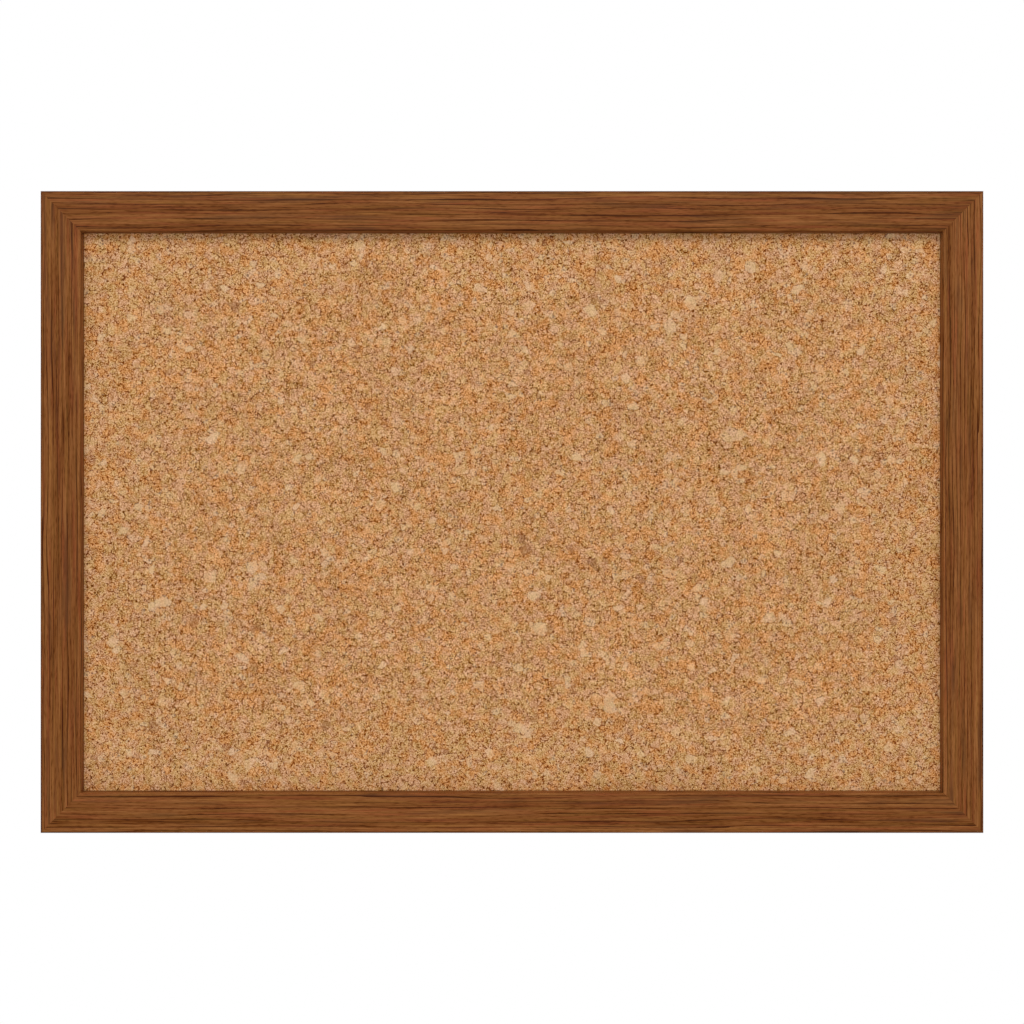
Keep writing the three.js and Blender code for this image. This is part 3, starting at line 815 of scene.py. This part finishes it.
# %% Cork sheet
cork_low, cork_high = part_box("cork_sheet")
field_front_y = cork_low.y
field_gap = 0.2 * mm
cork_rise = 0.3 * mm
grid_cell = 1.15 * mm
field_x = opening_x - 2 * field_gap
field_z = opening_z - 2 * field_gap
bpy.ops.object.select_all(action="DESELECT")
bpy.ops.mesh.primitive_grid_add(
    x_subdivisions=round(field_x / grid_cell), y_subdivisions=round(field_z / grid_cell), size=1,
    location=(0, field_front_y, 0), rotation=(math.pi / 2, 0, 0))
cork = bpy.context.object
cork.name = "cork_face"
bpy.ops.object.transform_apply()
edit(cork)
bpy.ops.mesh.select_mode(type="EDGE")
bpy.ops.mesh.select_all(action="SELECT")
bpy.ops.transform.resize(value=(field_x, 1, field_z), center_override=(0, 0, 0))
bpy.ops.mesh.region_to_loop()
extrude((0, cork_rise, 0))
extrude((0, 0, 0))
wider = ((cork_high.x - cork_low.x) / field_x, 1, (cork_high.z - cork_low.z) / field_z)
bpy.ops.transform.resize(value=wider, center_override=(0, 0, 0))
extrude((0, cork_high.y - field_front_y - cork_rise, 0))
bpy.ops.mesh.edge_face_add()
face_outwards()
apply(cork, "NODES", node_group=cork_relief())
finish(cork, "board", [raw_cork()], ["cork_sheet"], smooth=60)

# %% [markdown]
# ## The panel behind the cork
# Two plain boards lie behind the cork: soft wood-fibre board, which takes the pins' points, and thin
# hardboard, which closes the back. Both are flat sheets with square edges, so their solids already
# have the right shape and only need a finish.

# %% Softboard and hardboard
def softboard():
    """Wood fibres felted wet and dried: pale, woolly, with loose fibres and no gloss."""
    made, tree, shader, place = material("felted wood-fibre board")
    wool = add(tree, "ShaderNodeTexNoise", {
        "Vector": place, "Scale": 1 / 0.8, "Detail": 5.0, "Roughness": 0.7})
    colour = add(tree, "ShaderNodeValToRGB", {0: wool}, stops=[
        (0.3, linear(0x8a7352)), (0.5, linear(0xa58c68)), (0.7, linear(0xb9a27e))])
    bump = add(tree, "ShaderNodeBump", {"Height": wool, "Distance": 0.4 * mm})
    plug(tree, shader, {
        "Base Color": colour, "Roughness": 1.0, "Specular IOR Level": 0.1, "Normal": bump})
    return made


def hardboard():
    """Fibre pressed hot and hard, dark brown. The face that lay on the wire screen keeps its weave,
    and fibres show as paler and darker flecks."""
    wire_to_wire = 1.3  # mm
    made, tree, shader, place = material("hot-pressed hardboard, screen side")
    axes = add(tree, "ShaderNodeSeparateXYZ", {0: place}).outputs
    waves = []
    for axis in ("X", "Z"):
        turns = add(tree, "ShaderNodeMath", {0: axes[axis], 1: 2 * math.pi / wire_to_wire},
                    operation="MULTIPLY")
        waves.append(add(tree, "ShaderNodeMath", {0: turns}, operation="SINE"))
    weave = add(tree, "ShaderNodeMath", {0: waves[0], 1: waves[1]}, operation="MULTIPLY")
    fleck = add(tree, "ShaderNodeTexNoise", {
        "Vector": place, "Scale": 1 / 1.6, "Detail": 6.0, "Roughness": 0.75})
    cloud = add(tree, "ShaderNodeTexNoise", {"Vector": place, "Scale": 1 / 45, "Detail": 3.0})
    tone = add(tree, "ShaderNodeMath", {0: cloud, 1: 0.4, 2: -0.45}, operation="MULTIPLY_ADD")
    tone = add(tree, "ShaderNodeMath", {0: fleck, 1: 1.5, 2: tone}, operation="MULTIPLY_ADD")
    tone = add(tree, "ShaderNodeMath", {0: weave, 1: 0.08, 2: tone}, operation="MULTIPLY_ADD")
    colour = add(tree, "ShaderNodeValToRGB", {0: tone}, stops=[
        (0.1, linear(0x4e331d)), (0.45, linear(0x6b4829)), (0.65, linear(0x795433)),
        (0.95, linear(0x8f6a45))])
    height = add(tree, "ShaderNodeMath", {0: weave, 1: 0.35, 2: fleck}, operation="MULTIPLY_ADD")
    bump = add(tree, "ShaderNodeBump", {"Height": height, "Distance": 0.12 * mm, "Strength": 0.8})
    plug(tree, shader, {
        "Base Color": colour, "Roughness": 0.72, "Specular IOR Level": 0.3, "Normal": bump})
    return made


for node, finish_of_board in (("core_board", softboard()), ("back_panel", hardboard())):
    for slot in frame["nodes"][node].material_slots:
        slot.material = finish_of_board
    print(node, "wears", finish_of_board.name)

# %% [markdown]
# ## Steel
# Two steels show on the back. The wedges and the flat points are blued spring steel with a film of
# oil, grey and cloudy, with a little brown where the oil has gone. The hangers are plated with zinc:
# brighter and slightly blue, with a soft cloud from the bath and small duller spots. Both are metals
# through and through, so one function makes the two, from their tones, spots and roughness.

# %% Bare and plated steel
def steel(name, tones, stain, roughness):
    """Steel with a cloudy finish and small weathered spots, which have the stain's colour. The
    roughness runs from the clean metal's to the spots'."""
    made, tree, shader, place = material(name)
    cloud = add(tree, "ShaderNodeTexNoise", {
        "Vector": place, "Scale": 1 / 3.5, "Detail": 4.0, "Roughness": 0.6})
    colour = add(tree, "ShaderNodeValToRGB", {0: cloud}, stops=tones)
    spots = add(tree, "ShaderNodeTexNoise", {
        "Vector": place, "Scale": 1 / 1.4, "Detail": 5.0, "Roughness": 0.75})
    spotted = add(tree, "ShaderNodeMapRange", {
        "Value": spots, "From Min": 0.6, "From Max": 0.72, "To Min": 0.0, "To Max": 0.6})
    colour = add(tree, "ShaderNodeMix", {"Factor": spotted, "A": colour, "B": stain}, data_type="RGBA")
    low, high = roughness
    rough = add(tree, "ShaderNodeMapRange", {
        "Value": spots, "From Min": 0.3, "From Max": 0.7, "To Min": low, "To Max": high})
    bump = add(tree, "ShaderNodeBump", {"Height": spots, "Distance": 0.02 * mm, "Strength": 0.5})
    plug(tree, shader, {"Base Color": colour, "Metallic": 1.0, "Roughness": rough, "Normal": bump})
    return made


spring_steel = steel(
    "oiled spring steel",
    [(0.3, linear(0x77797e)), (0.7, linear(0x9a9b9d))], linear(0x6f5a49), (0.32, 0.5))
zinc_plate = steel(
    "bright zinc plated steel",
    [(0.3, linear(0xa3abb3)), (0.7, linear(0xbdc1c3))], linear(0x94979a), (0.24, 0.4))
for node, piece in {**wedge_pieces, **point_pieces}.items():
    finish(piece, "board", [spring_steel], [node])

# %% [markdown]
# ## Ring hangers
# A strip of steel is folded round the ring's bar and back on itself, and a screw through both leaves
# holds it on the stile. The strip is drawn as a line along its middle, as a press bends it: up
# along the wood, three quarters round the bar, then a bend the other way and down over itself.

# %% Strap
wire_radius = 0.9 * mm
wire_play = 0.2 * mm  # between the ring's bar and the loop round it
strap_thickness = 0.7 * mm
strap_width = 7 * mm
strap_fold_gap = 0.1 * mm
loop_radius = wire_radius + wire_play + strap_thickness / 2
screw_hole_radius = screw_radius + 0.3 * mm


def spin_on(centre, axis, angle, steps):
    """Spins what is selected on round a centre, and leaves its new end selected. The angle is
    counted by the right hand, and the operator counts it the other way."""
    bpy.ops.mesh.spin(steps=steps, angle=-angle, center=centre, axis=axis)


def strap(label, pivot):
    """Folds one strap round its ring's bar, rounds its ends and drills it for the screw."""
    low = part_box(f"hanger_strap_{label}")[0]
    screw_low, screw_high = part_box(f"hanger_screw_{label}")
    inner_leaf_y = low.y + strap_thickness / 2
    outer_leaf_y = inner_leaf_y + strap_thickness + strap_fold_gap
    neck_radius = pivot.y - outer_leaf_y
    neck_z = pivot.z - loop_radius - neck_radius
    leaf = [(low.x, inner_leaf_y, low.z), (low.x, inner_leaf_y, pivot.z)]
    piece = trace(f"zinc_hanger_strap_{label}", leaf)
    spin_on(pivot, (1, 0, 0), math.radians(-270), 27)
    spin_on((pivot.x, pivot.y, neck_z), (1, 0, 0), math.radians(90), 6)
    extrude((0, 0, low.z - neck_z))
    bpy.ops.mesh.select_all(action="SELECT")
    bpy.ops.mesh.remove_doubles(threshold=weld)
    extrude((strap_width, 0, 0))
    for side in (low.x, low.x + strap_width):
        select(piece, "VERT", lambda co: near(co.z, low.z) and near(co.x, side))
        bpy.ops.mesh.bevel(offset=0.48 * strap_width, segments=8, affect="VERTICES")
    face_outwards()
    apply(piece, "SOLIDIFY", thickness=strap_thickness, offset=0, use_even_offset=True)

    screw_z = (screw_low.z + screw_high.z) / 2
    hole = drill("screw_hole", Vector((pivot.x, low.y - mm, screw_z)), screw_hole_radius, 32, 5 * mm)
    cut(piece, hole)
    discard(hole)
    break_edges(piece)
    finish(piece, "board", [zinc_plate], [f"hanger_strap_{label}"])


pivots = {joint["name"].split("_")[0]: Vector(joint["pos_m"]) for joint in frame["joints"]}
for label, pivot in pivots.items():
    strap(label, pivot)

# %% [markdown]
# The ring is bent from wire: a straight bar in the loop, two small corners, two legs and a round bow.
# A circle for the wire's section is pushed along that path, extruded where it is straight and
# spun where it is bent, until it meets its own beginning.

# %% Ring
ring_inner_width = strap_width + 2 * mm
ring_reach = 7.5 * mm + 2 * wire_radius
ring_corner = 1.4 * mm
ring_seat_gap = 0.2 * mm  # between the hanging ring and its strap


def ring(label, pivot):
    """Bends one ring about its pivot, and lets it hang over its strap."""
    half = ring_inner_width / 2 + wire_radius
    bar = half - ring_corner
    leg = ring_reach - half
    bpy.ops.object.select_all(action="DESELECT")
    bpy.ops.mesh.primitive_circle_add(vertices=20, radius=wire_radius, rotation=(0, math.pi / 2, 0))
    piece = bpy.context.object
    piece.name = f"zinc_hanger_ring_{label}"
    bpy.ops.object.transform_apply()
    edit(piece)
    bpy.ops.mesh.select_all(action="SELECT")
    extrude((bar, 0, 0))
    spin_on((bar, 0, -ring_corner), (0, 1, 0), math.pi / 2, 8)
    extrude((0, 0, ring_corner - leg))
    spin_on((0, 0, -leg), (0, 1, 0), math.pi, 40)
    extrude((0, 0, leg - ring_corner))
    spin_on((-bar, 0, -ring_corner), (0, 1, 0), math.pi / 2, 8)
    extrude((bar, 0, 0))
    bpy.ops.mesh.select_all(action="SELECT")
    bpy.ops.mesh.remove_doubles(threshold=weld)
    face_outwards()
    bpy.ops.object.mode_set(mode="OBJECT")
    folded = 2 * strap_thickness + strap_fold_gap
    lift = folded + ring_seat_gap + wire_radius - (pivot.y - back_y)
    hang = Matrix.Rotation(math.asin(lift / ring_reach), 4, "X")
    piece.data.transform(Matrix.Translation(pivot) @ hang)
    finish(piece, f"{label}_ring", [zinc_plate], [f"hanger_ring_{label}"],
           smooth=60)


for label, pivot in pivots.items():
    ring(label, pivot)

# %% [markdown]
# The screw is a turned piece: half of its outline is drawn and spun round its axis, threads and all.
# A cross is then sunk into the head with two crossed blocks that taper towards their floor, as the
# punch does.

# %% Screw
screw_length = 12 * mm
screw_core_radius = screw_radius - 0.4 * mm
screw_pitch = 1.2 * mm
screw_tip = 3 * mm
screw_head_radius = 3.1 * mm
screw_head_height = 1.8 * mm
recess_length = 3.6 * mm
recess_width = 0.8 * mm
recess_depth = 1.1 * mm
recess_taper = 0.72  # the floor's size as a share of the mouth's
head_steps = 10


def screw(label):
    """Turns one screw, with its head on the strap, and sinks the cross into its head."""
    low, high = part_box(f"hanger_screw_{label}")
    middle = (low + high) / 2
    seat_y = high.y - screw_head_height
    profile = [(0, -screw_length), (screw_core_radius, screw_tip - screw_length)]
    turns = int((screw_length - screw_tip) / screw_pitch) - 1
    for i in range(turns):
        y = screw_tip - screw_length + (i + 0.5) * screw_pitch
        profile += [(screw_radius, y), (screw_core_radius, y + screw_pitch / 2)]
    rim = screw_head_height / 3
    profile += [(screw_core_radius, 0), (screw_head_radius, 0)]
    for i in range(head_steps + 1):
        angle = math.pi / 2 * i / head_steps
        dome = (screw_head_height - rim) * math.sin(angle)
        profile.append((screw_head_radius * math.cos(angle), rim + dome))
    points = [(middle.x + r, seat_y + y, middle.z) for r, y in profile]
    piece = trace(f"zinc_hanger_screw_{label}", points)
    turn_round(middle, 40)
    break_edges(piece, angle_limit=math.radians(60))
    floor_y = high.y - recess_depth
    for length, width in ((recess_length, recess_width), (recess_width, recess_length)):
        half = Vector((length / 2, 0, width / 2))
        cross = block("recess", Vector((middle.x, floor_y, middle.z)) - half,
                      Vector((middle.x, high.y + mm, middle.z)) + half)
        select(cross, "FACE", lambda co: near(co.y, floor_y))
        bpy.ops.transform.resize(value=(recess_taper, 1, recess_taper),
                                 center_override=(middle.x, floor_y, middle.z))
        cut(piece, cross)
        discard(cross)
    finish(piece, "board", [zinc_plate], [f"hanger_screw_{label}"])


for label in pivots:
    screw(label)

# %% [markdown]
# ## Bumpers
# Two rubber buttons under the bottom rail keep the board level and off the wall. They are moulded:
# a short drum with a generous round edge, matt, with dust in its pores.

# %% Rubber bumpers
bumper_radius = 4.75 * mm
bumper_edge_radius = 1.4 * mm
bumper_foot = 0.4 * mm
edge_steps = 8


def moulded_rubber():
    """Rubber from a blasted mould: near black, matt and a little dusty."""
    made, tree, shader, place = material("matt moulded rubber")
    dust = add(tree, "ShaderNodeTexNoise", {
        "Vector": place, "Scale": 1 / 0.5, "Detail": 4.0, "Roughness": 0.7})
    colour = add(tree, "ShaderNodeValToRGB", {0: dust}, stops=[
        (0.4, linear(0x2a2928)), (0.62, linear(0x383634)), (0.8, linear(0x575451))])
    bump = add(tree, "ShaderNodeBump", {"Height": dust, "Distance": 0.05 * mm, "Strength": 0.6})
    plug(tree, shader, {
        "Base Color": colour, "Roughness": 0.78, "Specular IOR Level": 0.4, "Normal": bump})
    return made


rubber = moulded_rubber()
for label in ("left", "right"):
    low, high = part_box(f"bumper_{label}")
    middle = (low + high) / 2
    shoulder = bumper_radius - bumper_edge_radius
    outline = [(0, 0), (bumper_radius - bumper_foot / 2, 0), (bumper_radius, bumper_foot)]
    for i in range(edge_steps + 1):
        angle = math.pi / 2 * i / edge_steps
        outline.append((shoulder + bumper_edge_radius * math.cos(angle),
                        high.y - low.y - bumper_edge_radius + bumper_edge_radius * math.sin(angle)))
    outline.append((0, high.y - low.y))
    piece = trace(f"rubber_bumper_{label}", [(middle.x + r, low.y + y, middle.z) for r, y in outline])
    turn_round(middle, 48)
    finish(piece, "board", [rubber], [f"bumper_{label}"])
